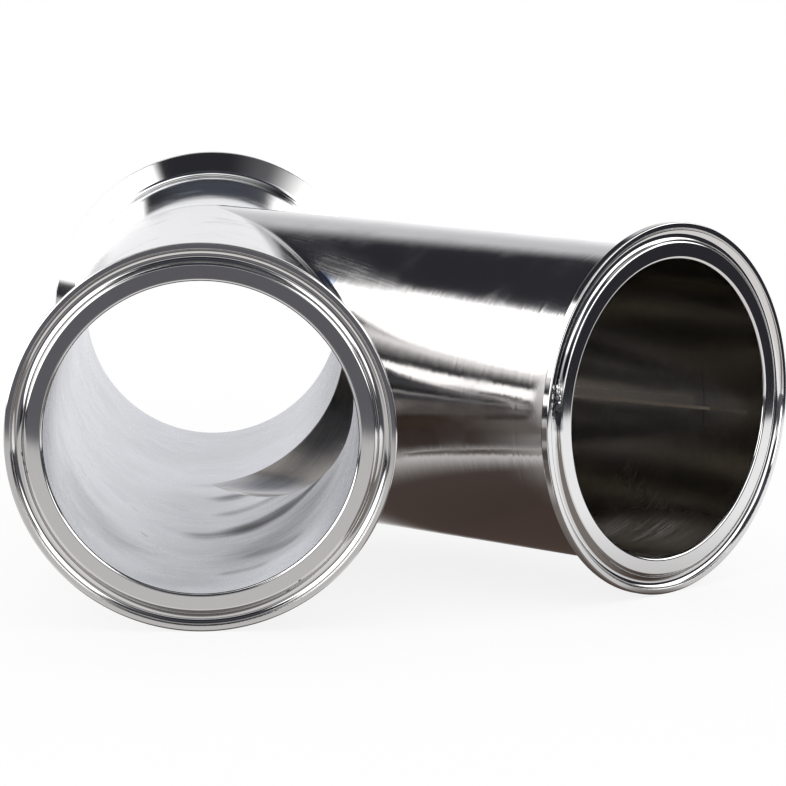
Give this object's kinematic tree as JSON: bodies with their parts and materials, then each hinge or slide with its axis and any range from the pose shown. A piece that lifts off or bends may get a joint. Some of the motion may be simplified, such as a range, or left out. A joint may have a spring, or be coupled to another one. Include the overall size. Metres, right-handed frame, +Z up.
{
  "type": "sanitary clamp wye",
  "caption": "Lateral wye for sanitary tubing: a thin straight run with a slanting branch, and a clamp ferrule with a gasket groove on each end.",
  "frame": {"origin": "the point where the centrelines of the run and the branch cross", "axes": "-Y along the run's long front leg, +Y along its short rear leg, the branch between -Y and +X, +Z up with the wye lying on its three rims"},
  "size_m": [0.2497, 0.332, 0.119],
  "materials": {
    "polished_tube": "polished",
    "turned_ferrule": "polished"
  },
  "bodies": {
    "root": {"front_tube": "polished_tube", "branch_tube": "polished_tube", "rear_tube": "polished_tube", "front_ferrule": "turned_ferrule", "branch_ferrule": "turned_ferrule", "rear_ferrule": "turned_ferrule"}
  },
  "joints": []
}
